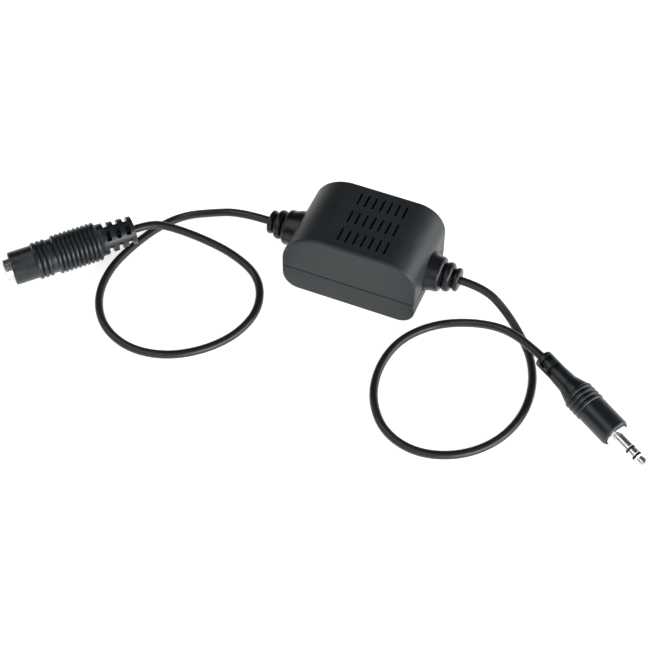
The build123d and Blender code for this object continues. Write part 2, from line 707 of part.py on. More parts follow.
def plug_body():
    points = [(0, 0), (0, PLUG_TAIL_RADIUS - TAIL_ROUND), (TAIL_ROUND, PLUG_TAIL_RADIUS)]
    points += [(PLUG_REAR_END, PLUG_REAR_RADIUS), (PLUG_CONE_END, PLUG_CONE_RADIUS)]
    points += rib_points(PLUG_CONE_END, PLUG_RIBS_END, PLUG_RIBS, PLUG_RIB_RADIUS, PLUG_RIB_DEPTH)
    points += [(PLUG_RIBS_END, PLUG_BARREL_RADIUS), (PLUG_FRONT - PLUG_ROUND, PLUG_BARREL_RADIUS)]
    for turn in (30, 60, 90):
        angle = math.radians(turn)
        points.append((PLUG_FRONT - PLUG_ROUND * (1 - math.sin(angle)),
                       PLUG_BARREL_RADIUS - PLUG_ROUND * (1 - math.cos(angle))))
    points.append((PLUG_FRONT, 0))
    body = revolved(points)
    for centre in PLUG_SLOTS:
        body -= slot_cutter(centre, PLUG_SLOT_WIDTH, PLUG_SLOT_ANGLE, PLUG_SLOT_ROLL,
                            PLUG_CORE_RADIUS, PLUG_REAR_RADIUS)
    shoulder = pin_start()
    body -= rod(PLUG_FRONT - PLUG_RECESS_DEPTH, PLUG_FRONT + 1, PLUG_RECESS_RADIUS)
    body -= rod(shoulder - SHOULDER_THICKNESS - PRESS_CLEARANCE, PLUG_FRONT + 1,
                SHOULDER_RADIUS + PRESS_CLEARANCE)
    tail = shoulder - SHOULDER_THICKNESS - SLEEVE_TAIL_LENGTH
    body -= rod(tail - PRESS_CLEARANCE, PLUG_FRONT, SLEEVE_TAIL_RADIUS + PRESS_CLEARANCE)
    return body


def pin_start():
    """The face of the plug's shoulder, which stands proud and from which its pin is measured."""
    return PLUG_FRONT + SHOULDER_PROUD


def plug_sleeve():
    start = pin_start()
    tail = start - SHOULDER_THICKNESS - SLEEVE_TAIL_LENGTH
    form = rod(tail, start, SLEEVE_TAIL_RADIUS) + rod(start - SHOULDER_THICKNESS, start, SHOULDER_RADIUS)
    form += rod(start, start + SLEEVE_LENGTH, PIN_RADIUS)
    return form - rod(tail - 1, start + SLEEVE_LENGTH + 1, SLEEVE_BORE)


def plug_rear_insulator():
    start = pin_start()
    washer = rod(start + SLEEVE_LENGTH, start + RING_START, PIN_RADIUS)
    lining = rod(start - RING_TUBE_BACK, start + RING_START, SLEEVE_BORE - PRESS_CLEARANCE)
    bore = rod(start - ROD_BACK, start + PIN_LENGTH, RING_TUBE_RADIUS + PRESS_CLEARANCE)
    return washer + lining - bore


def plug_ring():
    start = pin_start()
    form = rod(start - RING_TUBE_BACK, start + RING_END, RING_TUBE_RADIUS)
    form += rod(start + RING_START, start + RING_END, PIN_RADIUS)
    return form - rod(start - ROD_BACK, start + PIN_LENGTH, RING_TUBE_BORE)


def plug_front_insulator():
    start = pin_start()
    washer = rod(start + RING_END, start + TIP_START, PIN_RADIUS)
    lining = rod(start - RING_TUBE_BACK, start + TIP_START, RING_TUBE_BORE - PRESS_CLEARANCE)
    bore = rod(start - ROD_BACK, start + PIN_LENGTH, ROD_RADIUS + PRESS_CLEARANCE)
    return washer + lining - bore


def plug_tip():
    """The tip's spearhead: a waist for the socket's spring, a shoulder and a blunt cone."""
    start = pin_start()
    length = PIN_LENGTH - TIP_START
    waist = start + TIP_START
    points = [
        (start - ROD_BACK, 0), (start - ROD_BACK, ROD_RADIUS), (waist, ROD_RADIUS),
        (waist, PIN_RADIUS), (waist + 0.06 * length, PIN_RADIUS),
        (waist + 0.2 * length, TIP_WAIST_RADIUS), (waist + 0.28 * length, TIP_WAIST_RADIUS),
        (waist + 0.46 * length, PIN_RADIUS), (waist + 0.55 * length, PIN_RADIUS),
        (waist + 0.93 * length, 0.75), (waist + 0.98 * length, TIP_POINT_RADIUS),
        (waist + length, 0.2), (waist + length, 0),
    ]
    return revolved(points)


def build_parts():
    """Every node's shape by name."""
    walls = housing_walls()
    relief = strain_relief()
    parts = {
        "upper_shell": upper_shell(walls),
        "lower_shell": lower_shell(walls),
        "circuit_board": circuit_board(),
        "solder_joints": solder_joints(),
        "output_strain_relief": relief,
        "input_strain_relief": Rot(0, 0, 180) * relief,
    }
    for channel, side in (("left", -1), ("right", 1)):
        place = Pos(side * transformer_x(), 0, 0)
        parts[channel + "_channel_core"] = place * core()
        parts[channel + "_channel_bobbin"] = place * bobbin()
        parts[channel + "_channel_winding"] = place * winding()
        parts[channel + "_channel_tape"] = place * winding_tape()
        parts[channel + "_channel_pins"] = place * pins()
    for lead, side in (("input", -1), ("output", 1)):
        for use, position in (("left", -1), ("ground", 0), ("right", 1)):
            parts[lead + "_" + use + "_wire"] = wire(side, position)
    socket_place = end_place(SOCKET_TAIL, SOCKET_TURN, SOCKET_TILT)
    parts["input_cord"] = cord("input_cord", with_tail(INPUT_ROUTE, socket_place, SOCKET_LEAD_IN))
    parts["socket_body"] = socket_place * socket_body()
    parts["socket_bushing"] = socket_place * socket_bushing()
    parts["socket_insulator"] = socket_place * socket_insulator()
    parts["socket_tip_spring"] = socket_place * socket_spring(TIP_SPRING_DEPTH, 0)
    parts["socket_ring_spring"] = socket_place * socket_spring(RING_SPRING_DEPTH, 180)
    plug_place = end_place(PLUG_TAIL, PLUG_TURN, PLUG_TILT)
    parts["output_cord"] = cord("output_cord", with_tail(OUTPUT_ROUTE, plug_place, PLUG_LEAD_IN))
    parts["plug_body"] = plug_place * plug_body()
    parts["plug_sleeve"] = plug_place * plug_sleeve()
    parts["plug_rear_insulator"] = plug_place * plug_rear_insulator()
    parts["plug_ring"] = plug_place * plug_ring()
    parts["plug_front_insulator"] = plug_place * plug_front_insulator()
    parts["plug_tip"] = plug_place * plug_tip()
    return parts


os.makedirs("parts", exist_ok=True)
for node, shape in build_parts().items():
    export_step(shape, "parts/" + node + ".step")
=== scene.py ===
"""Ground loop isolator: a louvred plastic case on a lead with a socket and a lead with a plug.

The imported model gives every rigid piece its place. This script gives the turned and moulded
pieces that show their smooth surfaces, lays the two leads, and gives every piece its material.
Lengths are millimetres and become metres when a mesh is made.
"""
import math

import bmesh
import bpy
import numpy as np
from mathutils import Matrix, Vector


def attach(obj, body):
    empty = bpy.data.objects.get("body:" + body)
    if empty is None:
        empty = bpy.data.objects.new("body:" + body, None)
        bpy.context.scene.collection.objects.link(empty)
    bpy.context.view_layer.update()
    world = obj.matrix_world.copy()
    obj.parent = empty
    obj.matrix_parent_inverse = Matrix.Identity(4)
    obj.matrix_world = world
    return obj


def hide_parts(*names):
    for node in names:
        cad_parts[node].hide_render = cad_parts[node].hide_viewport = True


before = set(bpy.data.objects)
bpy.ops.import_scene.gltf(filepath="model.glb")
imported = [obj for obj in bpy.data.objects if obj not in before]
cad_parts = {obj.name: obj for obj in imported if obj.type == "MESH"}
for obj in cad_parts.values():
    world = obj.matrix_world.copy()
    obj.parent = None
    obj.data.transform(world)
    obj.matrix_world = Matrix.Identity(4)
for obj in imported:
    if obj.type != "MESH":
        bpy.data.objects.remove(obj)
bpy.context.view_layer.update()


# The two leads are limp screened audio cable in a black vinyl sheath, 2.8 mm thick. Each leaves
# its strain relief, falls to the surface and makes one loop that crosses over its own start.
def linear(colour):
    """An sRGB hex colour as linear red, green, blue and alpha, by the sRGB curve."""
    values = [int(colour[place:place + 2], 16) / 255 for place in (1, 3, 5)]
    curve = [v / 12.92 if v <= 0.04045 else ((v + 0.055) / 1.055) ** 2.4 for v in values]
    return (*curve, 1.0)


def add_node(tree, kind, inputs=None, **settings):
    """Adds one shader node. An input is a value, or another node's output to link."""
    node = tree.nodes.new(kind)
    for name, value in settings.items():
        setattr(node, name, value)
    for socket, value in (inputs or {}).items():
        if isinstance(value, bpy.types.NodeSocket):
            tree.links.new(value, node.inputs[socket])
        else:
            node.inputs[socket].default_value = value
    return node


def new_material(name):
    """An empty material with its output node, as (material, tree, output)."""
    material = bpy.data.materials.new(name)
    material.use_nodes = True
    tree = material.node_tree
    tree.nodes.clear()
    return material, tree, add_node(tree, "ShaderNodeOutputMaterial")


def moulded_plastic(name, dark, light, mottle_mm, rough, grain_mm, grain_depth_mm,
                    specular=0.5, sheen=0.0):
    """Moulded plastic: colour and gloss drift slowly over mottle_mm, and a grain stands on it.

    The colour is a mix of dark and light by smooth noise, the roughness moves between the two
    values of rough with the same noise, and finer noise of grain_mm gives the height. Specular
    is the strength of the shine, and sheen is the pale bloom of a dusty or worn surface.
    """
    material, tree, output = new_material(name)
    place = add_node(tree, "ShaderNodeTexCoord").outputs["Object"]
    drift = add_node(tree, "ShaderNodeTexNoise", {
        "Vector": place, "Scale": 1000 / mottle_mm, "Detail": 3.0, "Roughness": 0.55})
    colour = add_node(tree, "ShaderNodeMix", {
        "Factor": drift.outputs["Fac"], "A": linear(dark), "B": linear(light)}, data_type="RGBA")
    gloss = add_node(tree, "ShaderNodeMapRange", {
        "Value": drift.outputs["Fac"], "From Min": 0.3, "From Max": 0.7,
        "To Min": rough[0], "To Max": rough[1]})
    grain = add_node(tree, "ShaderNodeTexNoise", {
        "Vector": place, "Scale": 1000 / grain_mm, "Detail": 2.0, "Roughness": 0.6})
    bump = add_node(tree, "ShaderNodeBump", {
        "Height": grain.outputs["Fac"], "Strength": 1.0, "Distance": grain_depth_mm / 1000})
    shader = add_node(tree, "ShaderNodeBsdfPrincipled", {
        "Base Color": colour.outputs["Result"], "Roughness": gloss.outputs["Result"],
        "Normal": bump.outputs["Normal"], "IOR": 1.5, "Specular IOR Level": specular,
        "Sheen Weight": sheen, "Sheen Roughness": 0.4})
    tree.links.new(shader.outputs["BSDF"], output.inputs["Surface"])
    return material


# Soft vinyl drawn over the cores: satin, with a long soft shine and faint unevenness from them.
sheath_vinyl = moulded_plastic(
    "soft_vinyl_cable_sheath", "#131416", "#1c1e20", mottle_mm=6.0, rough=(0.30, 0.38),
    grain_mm=0.9, grain_depth_mm=0.02)

# The points that steer each lead, from its relief to its connector. Each loop lies on the
# surface, with the lead's middle one radius up, and its last run rises over its first.
lead_radius = 1.4
input_route = [
    (-34.4, 0, 12.1), (-45.5, 0, 12.1), (-57.5, 0.2, 6.4), (-67.2, -0.8, 2.0), (-73.5, -8.4, 1.4),
    (-77.8, -19.9, 1.4), (-80.4, -32.3, 1.4), (-78.4, -45.4, 1.4), (-70.8, -56.0, 1.4),
    (-58.6, -61.1, 1.4), (-45.5, -59.0, 1.4), (-34.5, -51.1, 1.4), (-27.5, -40.3, 1.4),
    (-26.0, -27.8, 1.4), (-31.8, -16.1, 1.5), (-43.6, -11.4, 3.3), (-56.4, -11.0, 5.8),
    (-67.6, -11.8, 7.3), (-73.302, -13.907, 8.298), (-77.76, -18.35, 8.0236),
]
output_route = [
    (34.4, 0, 12.1), (43.0, 0, 12.1), (51.5, -2.2, 6.8), (59.2, -7.0, 1.9), (64.8, -14.0, 1.4),
    (68.9, -24.6, 1.4), (69.5, -37.6, 1.4), (64.8, -50.3, 1.4), (55.2, -59.5, 1.4),
    (42.6, -63.3, 1.4), (30.6, -59.5, 1.4), (22.6, -49.1, 1.4), (19.8, -36.4, 1.4),
    (22.0, -23.0, 1.4), (30.7, -12.3, 1.5), (43.4, -8.6, 4.3), (55.7, -11.0, 8.8),
    (67.147, -15.106, 6.822), (68.85, -16.15, 6.7174),
]


def lay_lead(name, route, node):
    """A round lead: a second-degree NURBS line steered by the route's points, with thickness."""
    curve = bpy.data.curves.new(name, "CURVE")
    curve.dimensions = "3D"
    curve.resolution_u = 14
    curve.bevel_depth = lead_radius / 1000
    curve.bevel_resolution = 7
    curve.use_fill_caps = True
    spline = curve.splines.new("NURBS")
    spline.points.add(len(route) - 1)
    for point, (x, y, z) in zip(spline.points, route):
        point.co = (x / 1000, y / 1000, z / 1000, 1.0)
    spline.order_u = 3
    spline.use_endpoint_u = True
    curve.materials.append(sheath_vinyl)
    lead = bpy.data.objects.new(name, curve)
    bpy.context.scene.collection.objects.link(lead)
    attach(lead, "root")
    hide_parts(node)
    return lead


input_lead = lay_lead("input_lead", input_route, "input_cord")
output_lead = lay_lead("output_lead", output_route, "output_cord")


# The case is two shells moulded in black ABS, closed on a shadow gap, with louvres in the upper
# one. Their solids already have the true form, so each is shown with its faces joined. The
# mould's spark-eroded grain spreads the light, so the black looks grey where a lamp reaches it.

# A real grain is about 0.1 mm wide and is drawn 0.35 mm wide, or it wouldn't show.
case_abs = moulded_plastic(
    "spark_textured_abs", "#1c2124", "#252a2d", mottle_mm=9.0, rough=(0.42, 0.50),
    grain_mm=0.35, grain_depth_mm=0.010, specular=0.36, sheen=0.02)


def joined_copy(name, node, material):
    """A node's own mesh, its loose triangles joined, and smooth where it bends under 32 degrees."""
    same_point = 2e-6
    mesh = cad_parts[node].data.copy()
    mesh.name = name
    shape = bmesh.new()
    shape.from_mesh(mesh)
    bmesh.ops.remove_doubles(shape, verts=shape.verts, dist=same_point)
    shape.to_mesh(mesh)
    shape.free()
    mesh.materials.clear()
    mesh.materials.append(material)
    mesh.polygons.foreach_set("use_smooth", np.ones(len(mesh.polygons), bool))
    mesh.set_sharp_from_angle(angle=math.radians(32))
    piece = bpy.data.objects.new(name, mesh)
    bpy.context.scene.collection.objects.link(piece)
    even = piece.modifiers.new("flat_faces_lead", "WEIGHTED_NORMAL")
    even.mode = "FACE_AREA"
    even.weight = 80
    even.keep_sharp = True
    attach(piece, "root")
    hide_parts(node)


joined_copy("case_top", "upper_shell", case_abs)
joined_copy("case_bottom", "lower_shell", case_abs)


# Each strain relief is one soft vinyl moulding round its lead, with a smooth foot and round ribs
# that get smaller outwards. It is caught in the case's end wall and by the saddle behind it. Its
# mould is polished, so it is the deepest black of all, with clear bright spots on the ribs.
relief_vinyl = moulded_plastic(
    "glossy_soft_vinyl", "#0b0c12", "#12131a", mottle_mm=5.0, rough=(0.26, 0.34),
    grain_mm=0.6, grain_depth_mm=0.006, specular=0.4)


def axis_frame(tail, turn_degrees, tilt_degrees):
    """Origin and the three unit axes of a turned piece: along it, level across it, and upwards."""
    turn, tilt = math.radians(turn_degrees), math.radians(tilt_degrees)
    along = np.array([math.cos(turn) * math.cos(tilt), math.sin(turn) * math.cos(tilt),
                      -math.sin(tilt)])
    across = np.array([-math.sin(turn), math.cos(turn), 0.0])
    return np.array(tail, float), along, across, np.cross(along, across)


def turned_mesh(name, distance, radius, angle, place):
    """A surface carried round an axis: radius is a grid over distance along it and angle round it.

    Each point is origin + along * distance + radius * (across * sin(angle) + up * cos(angle)).
    """
    same_point = 1e-6
    origin, along, across, up = place
    radius = np.broadcast_to(radius, (len(distance), len(angle)))
    points = (origin + distance[:, None, None] * along
              + (radius * np.sin(angle))[:, :, None] * across
              + (radius * np.cos(angle))[:, :, None] * up) / 1000
    rows, columns = radius.shape
    row, column = np.meshgrid(np.arange(rows - 1), np.arange(columns), indexing="ij")
    after = (column + 1) % columns
    faces = np.stack([
        row * columns + column, (row + 1) * columns + column,
        (row + 1) * columns + after, row * columns + after,
    ], axis=-1).reshape(-1, 4)
    mesh = bpy.data.meshes.new(name)
    mesh.from_pydata(points.reshape(-1, 3), [], faces)
    shape = bmesh.new()
    shape.from_mesh(mesh)
    bmesh.ops.remove_doubles(shape, verts=shape.verts, dist=same_point)
    bmesh.ops.dissolve_degenerate(shape, edges=shape.edges, dist=same_point)
    bmesh.ops.recalc_face_normals(shape, faces=shape.faces)
    shape.to_mesh(mesh)
    shape.free()
    mesh.polygons.foreach_set("use_smooth", np.ones(len(mesh.polygons), bool))
    return mesh


def show_piece(name, mesh, material, node, sharp_degrees=38):
    """A finished mesh as a piece that rides on the part and stands for its solid."""
    mesh.materials.append(material)
    mesh.set_sharp_from_angle(angle=math.radians(sharp_degrees))
    piece = bpy.data.objects.new(name, mesh)
    bpy.context.scene.collection.objects.link(piece)
    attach(piece, "root")
    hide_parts(node)
    return piece


full_turn = np.linspace(0, 2 * np.pi, 96, endpoint=False)
case_half_length = 23.7
relief_height = 12.1
relief_taper = 0.31
flange_back = 5.9
flange_front = 4.3
flange_radius = 6.6
neck_radius = 5.4
collar_back = 2.6
collar_radius = 6.9
foot_radius = 6.75
foot_length = 1.9
rib_count = 3
rib_pitch = 3.3
rib_radius = 6.1
rib_half_width = 1.4
rib_fall = 0.85
groove_depth = 1.25
end_half_width = 0.8
end_fall = 0.95
relief_length = 10.7


def rib_side(x, crest, width, fall):
    """From a rib's crest to its side: the radius falls with the cube of the way to the side."""
    way = np.linspace(0, 1, 9)
    return np.column_stack([x + width * way, crest - fall * way ** 3])


def relief_profile():
    """Half section of a relief from its inner end outwards: flange, groove, foot, then the ribs."""
    wall = case_half_length
    parts = [[(wall - flange_back, 0), (wall - flange_back, flange_radius),
              (wall - flange_front, flange_radius), (wall - flange_front, neck_radius),
              (wall - collar_back, neck_radius), (wall - collar_back, collar_radius),
              (wall, collar_radius),
              (wall + foot_length, foot_radius - relief_taper * foot_length)]]
    crests = [(wall + rib_pitch + rib_pitch * number,
               rib_radius - relief_taper * rib_pitch * number) for number in range(rib_count)]
    for (x, crest), (next_x, next_crest) in zip(crests, crests[1:]):
        groove = (crest + next_crest) / 2 - groove_depth
        parts.append(rib_side(x, crest, rib_half_width, rib_fall))
        parts.append([(x + rib_half_width + 0.06, groove + 0.2),
                      (x + rib_half_width + 0.16, groove),
                      (next_x - rib_half_width - 0.16, groove),
                      (next_x - rib_half_width - 0.06, groove + 0.2)])
        parts.append(rib_side(next_x, next_crest, -rib_half_width, rib_fall)[:0:-1])
    parts.append(rib_side(*crests[-1], end_half_width, end_fall))
    parts.append([(wall + relief_length, 0)])
    return np.concatenate([np.array(part, float) for part in parts])


relief_line = relief_profile()
for side_name, turn_degrees in (("output", 0), ("input", 180)):
    relief_place = axis_frame((0, 0, relief_height), turn_degrees, 0)
    relief_mesh = turned_mesh(side_name + "_relief", relief_line[:, 0], relief_line[:, 1:],
                              full_turn, relief_place)
    show_piece(side_name + "_relief", relief_mesh, relief_vinyl,
               side_name + "_strain_relief", sharp_degrees=50)


# The in-line socket is a stiff vinyl moulding over the metal barrel. Its tail is a ladder of ribs
# round a thin core, so that it bends with the lead, and its grip is ringed for the fingers. The
# vinyl is satin, so that each ring shows one soft bright line.
connector_vinyl = moulded_plastic(
    "satin_moulded_vinyl", "#101619", "#192024", mottle_mm=4.0, rough=(0.28, 0.38),
    grain_mm=0.5, grain_depth_mm=0.008, specular=0.44)

socket_place = axis_frame((-77.76, -18.35, 8.0236), turn_degrees=224.9, tilt_degrees=2.5)


def ringed(start, end, ribs, radius, depth):
    """Distance and radius along a ringed stretch: round ribs with narrow grooves between them.

    With from_groove counted in ribs, 0 in a groove and a half on a crest, the radius falls by
    depth times a bell curve of it, and by up to a tenth of a millimetre more off the crest.
    """
    steps_a_rib = 16
    groove_share = 0.17
    distance = np.linspace(start, end, ribs * steps_a_rib + 1)
    phase = (distance - start) / (end - start) * ribs
    from_groove = np.abs(phase - np.round(phase))
    fall = depth * np.exp(-(from_groove / groove_share) ** 2) + 0.4 * (0.5 - from_groove) ** 2
    return np.column_stack([distance, radius - fall])


def windowed(profile, slots, width, windows, core):
    """A turned profile with windows, each given by its middle and its whole angle in degrees.

    Between the slots' edges along it and a window's edges round it, the radius drops to the
    core's. Rows at each slot's edges and columns at each window's edges are doubled, one just
    outside and one just inside, which gives the windows upright walls.
    """
    gap = 1e-4
    steps_round = 120
    middles, widths = np.radians(np.array(windows, float)).T
    edges = np.concatenate([middles - widths / 2, middles + widths / 2])
    angle = np.concatenate([np.linspace(0, 2 * np.pi, steps_round, endpoint=False),
                            edges - gap, edges + gap])
    angle = np.unique(np.round(angle % (2 * np.pi), 6))
    off_middle = np.abs((angle[:, None] - middles + np.pi) % (2 * np.pi) - np.pi)
    in_window = (off_middle < widths / 2).any(axis=1)
    slot_edges = np.array([centre + side * width / 2 for centre in slots for side in (-1, 1)])
    tail = profile[:, 0] < max(slots) + width
    added = np.concatenate([slot_edges - gap, slot_edges + gap])
    first = int(np.argmax(profile[:, 1] > 0))
    radii = np.interp(added, profile[first:][tail[first:], 0], profile[first:][tail[first:], 1])
    rows = np.concatenate([profile[tail], np.column_stack([added, radii])])
    order = np.concatenate([np.arange(first + 1),
                            first + 1 + np.argsort(rows[first + 1:, 0], kind="stable")])
    rows = np.concatenate([rows[order], profile[~tail]])
    in_slot = (np.abs(rows[:, :1] - np.array(slots)) < width / 2).any(axis=1) & (rows[:, 1] > core)
    in_slot[len(order):] = False
    radius = np.where(in_slot[:, None] & in_window, core, rows[:, 1:])
    return rows[:, 0], radius, angle


ladder_tail = [(0, 0), (0, 4.5), (0.12, 4.78), (0.4, 4.9), (10.1, 5.35)]
ladder_slots = (2.4, 5.85, 9.3)
ladder_slot_width = 1.6
ladder_windows = ((37, 40), (127, 98), (217, 40), (307, 98))
ladder_core_radius = 2.0
tail_collar = [(10.11, 5.45), (10.3, 5.6), (12.5, 5.6), (12.65, 5.5)]
finger_grip = ringed(12.7, 28.2, ribs=10, radius=6.8, depth=0.5)
plain_waist = [(28.4, 5.9), (29.8, 5.9)]
front_rings = ringed(30.0, 35.3, ribs=3, radius=6.45, depth=0.5)
front_barrel = [(35.5, 5.75), (42.8, 5.75), (43.15, 5.65), (43.34, 5.45), (43.4, 5.15)]
barrel_seat = [(43.4, 3.97), (38.32, 3.97), (38.32, 4.62), (36.78, 4.62), (36.78, 3.92),
               (23.8, 3.92), (23.8, 0)]
socket_profile = np.concatenate([
    ladder_tail, tail_collar, finger_grip, plain_waist, front_rings, front_barrel, barrel_seat])
socket_distance, socket_radius, socket_angle = windowed(
    socket_profile, ladder_slots, ladder_slot_width, ladder_windows, ladder_core_radius)
socket_mesh = turned_mesh("in_line_socket", socket_distance, socket_radius, socket_angle,
                          socket_place)
socket_moulding = show_piece("in_line_socket", socket_mesh, connector_vinyl,
                             "socket_body")


# The socket's barrel and the plug's contacts are turned brass with bright nickel plate, which
# shows fine rings from the lathe and dulls a little where fingers touch it.
def turned_plate(name, place, colour, rough):
    """Plated turned metal: noise along the axis alone gives its lathe rings.

    Real rings are about 0.05 mm apart and are drawn 0.2 mm apart, or they wouldn't show.
    """
    ring_mm = 0.2
    ring_depth_mm = 0.004
    smudge_mm = 1.5
    origin, along, across, up = place
    material, tree, output = new_material(name)
    coordinates = add_node(tree, "ShaderNodeTexCoord").outputs["Object"]
    distance = add_node(tree, "ShaderNodeVectorMath", {0: coordinates, 1: tuple(along)},
                        operation="DOT_PRODUCT")
    rings = add_node(tree, "ShaderNodeTexNoise", {
        "W": distance.outputs["Value"], "Scale": 1000 / ring_mm, "Detail": 2.0},
        noise_dimensions="1D")
    smudge = add_node(tree, "ShaderNodeTexNoise", {
        "Vector": coordinates, "Scale": 1000 / smudge_mm, "Detail": 3.0})
    gloss = add_node(tree, "ShaderNodeMapRange", {
        "Value": smudge.outputs["Fac"], "From Min": 0.35, "From Max": 0.7,
        "To Min": rough[0], "To Max": rough[1]})
    bump = add_node(tree, "ShaderNodeBump", {
        "Height": rings.outputs["Fac"], "Strength": 0.5, "Distance": ring_depth_mm / 1000})
    shader = add_node(tree, "ShaderNodeBsdfPrincipled", {
        "Base Color": linear(colour), "Metallic": 1.0, "Roughness": gloss.outputs["Result"],
        "Normal": bump.outputs["Normal"]})
    tree.links.new(shader.outputs["BSDF"], output.inputs["Surface"])
    return material


socket_nickel = turned_plate("nickel_plated_barrel", socket_place, "#d2d0ca", rough=(0.22, 0.32))
barrel_radius = 3.95
bore_radius = 1.8
relief_bore_radius = 2.0
barrel_line = np.array([
    (36.8, relief_bore_radius), (36.8, 4.6), (38.3, 4.6), (38.3, barrel_radius),
    (45.5, barrel_radius), (45.65, 3.8), (45.8, 3.65), (45.8, 2.1), (45.65, 1.93),
    (45.5, bore_radius), (39.0, bore_radius), (39.0, relief_bore_radius),
    (36.8, relief_bore_radius),
])
barrel_mesh = turned_mesh("socket_barrel", barrel_line[:, 0], barrel_line[:, 1:], full_turn,
                          socket_place)
socket_barrel = show_piece("socket_barrel", barrel_mesh, socket_nickel,
                           "socket_bushing")


# Behind the barrel, a nylon moulding holds two springs bent from phosphor bronze strip, which
# press on the plug's ring and tip. The nylon is black and dull, and the bronze is bright with a
# yellow cast. Their solids are shown as they are.
def repaint(material, *nodes):
    """Gives CAD nodes whose shape is right their material, and returns them."""
    for node in nodes:
        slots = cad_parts[node].data.materials
        slots.clear()
        slots.append(material)
    return [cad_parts[node] for node in nodes]


contact_nylon = moulded_plastic(
    "black_nylon", "#0b0b0c", "#141415", mottle_mm=2.0, rough=(0.42, 0.5),
    grain_mm=0.3, grain_depth_mm=0.004)
spring_bronze, spring_tree, spring_output = new_material("phosphor_bronze_strip")
spring_place = add_node(spring_tree, "ShaderNodeTexCoord").outputs["Object"]
spring_mottle_mm = 0.67
spring_noise = add_node(spring_tree, "ShaderNodeTexNoise", {
    "Vector": spring_place, "Scale": 1000 / spring_mottle_mm})
spring_shader = add_node(spring_tree, "ShaderNodeBsdfPrincipled", {
    "Base Color": linear("#b9975a"), "Metallic": 1.0,
    "Roughness": add_node(spring_tree, "ShaderNodeMapRange", {
        "Value": spring_noise.outputs["Fac"], "To Min": 0.25, "To Max": 0.45}).outputs["Result"]})
spring_tree.links.new(spring_shader.outputs["BSDF"], spring_output.inputs["Surface"])
socket_inside = repaint(contact_nylon, "socket_insulator")
socket_inside += repaint(spring_bronze, "socket_tip_spring", "socket_ring_spring")


# The plug's body is moulded in the same vinyl straight over its contacts: a slim tail with two
# pairs of windows, a cone, fine finger rings and a plain barrel with a rounded front.
plug_place = axis_frame((68.85, -16.15, 6.7174), turn_degrees=-31.5, tilt_degrees=3.0)
plug_front = 35.7
plug_barrel_radius = 4.92
front_round = 1.4
slim_tail = [(0, 0), (0, 2.7), (0.12, 2.98), (0.4, 3.1), (12.2, 3.44), (12.8, 3.58),
             (16.3, 4.72)]
tail_slots = (2.7, 6.2)
tail_slot_width = 1.9
tail_windows = ((-28, 104), (152, 104))
tail_core_radius = 2.1
finger_rings = ringed(16.8, 23.7, ribs=4, radius=5.25, depth=0.45)
front_turn = np.radians(np.linspace(0, 60, 9))
rounded_front = np.column_stack([
    plug_front - front_round * (1 - np.sin(front_turn)),
    plug_barrel_radius - front_round * (1 - np.cos(front_turn))])
contact_seat = [(34.2, 4.2), (34.2, 3.82), (33.88, 3.82), (33.88, 2.42), (25.88, 2.42),
                (25.88, 0)]
plug_profile = np.concatenate([
    slim_tail, finger_rings, [(23.9, 4.95)], rounded_front, contact_seat])
plug_distance, plug_radius, plug_angle = windowed(
    plug_profile, tail_slots, tail_slot_width, tail_windows, tail_core_radius)
plug_mesh = turned_mesh("plug_moulding", plug_distance, plug_radius, plug_angle, plug_place)
plug_moulding = show_piece("plug_moulding", plug_mesh, connector_vinyl,
                           "plug_body")


# The plug's pin is three turned contacts on one another, with nylon rings between them: a
# sleeve with its shoulder, a ring, and the spearhead tip that the socket's spring clicks behind.
# Each outline gives the distance from the shoulder and the radius.
plug_nickel = turned_plate("nickel_plated_contacts", plug_place, "#dedddb", rough=(0.22, 0.32))
shoulder = 35.5
pin_radius = 1.75
chamfered_radius = 1.65
nylon_radius = 1.74
contact_lines = {
    "plug_sleeve": [
        (-9.6, 1.4), (-9.6, 2.4), (-1.6, 2.4), (-1.6, 3.8), (0.2, 3.8), (0.34, 3.74), (0.4, 3.6),
        (0.4, pin_radius), (6.2, pin_radius), (6.3, chamfered_radius), (6.3, 1.4), (-9.6, 1.4)],
    "plug_ring": [
        (-4.5, 0.9), (-4.5, 1.15), (7.0, 1.15), (7.0, chamfered_radius), (7.1, pin_radius),
        (9.2, pin_radius), (9.3, chamfered_radius), (9.3, 0.9), (-4.5, 0.9)],
    "plug_tip": [
        (-6.5, 0), (-6.5, 0.6), (10.0, 0.6), (10.0, chamfered_radius), (10.1, pin_radius),
        (10.24, 1.74), (10.5, 1.5), (10.7, 1.38), (10.95, 1.35), (11.2, 1.4), (11.5, 1.52),
        (11.8, 1.57), (12.2, 1.55), (13.0, 1.3), (13.42, 1.06), (13.62, 0.8), (13.84, 0.42),
        (13.95, 0)],
    "plug_rear_insulator": [
        (-4.5, 1.17), (-4.5, 1.38), (6.3, 1.38), (6.3, nylon_radius), (7.0, nylon_radius),
        (7.0, 1.17), (-4.5, 1.17)],
    "plug_front_insulator": [
        (-4.5, 0.62), (-4.5, 0.88), (9.3, 0.88), (9.3, nylon_radius), (10.0, nylon_radius),
        (10.0, 0.62), (-4.5, 0.62)],
}
for node, line in contact_lines.items():
    nylon = node.endswith("insulator")
    line = np.array(line)
    contact_mesh = turned_mesh(node + "_turned", shoulder + line[:, 0], line[:, 1:], full_turn,
                               plug_place)
    show_piece(
        node + "_turned", contact_mesh, contact_nylon if nylon else plug_nickel,
        node)


# Inside, one small transformer for each channel: a stack of varnished silicon steel laminations
# round a nylon bobbin, which is wound with enamelled copper under a turn of yellow film. The
# laminations and the wire's turns are too fine to show, so both are drawn four times as coarse.
lamination_mm = 0.35
winding_wire_mm = 0.2
drawn_coarser = 4
# A wave texture of scale 1 repeats every tenth of pi metres.
wave_repeat = math.pi / 10

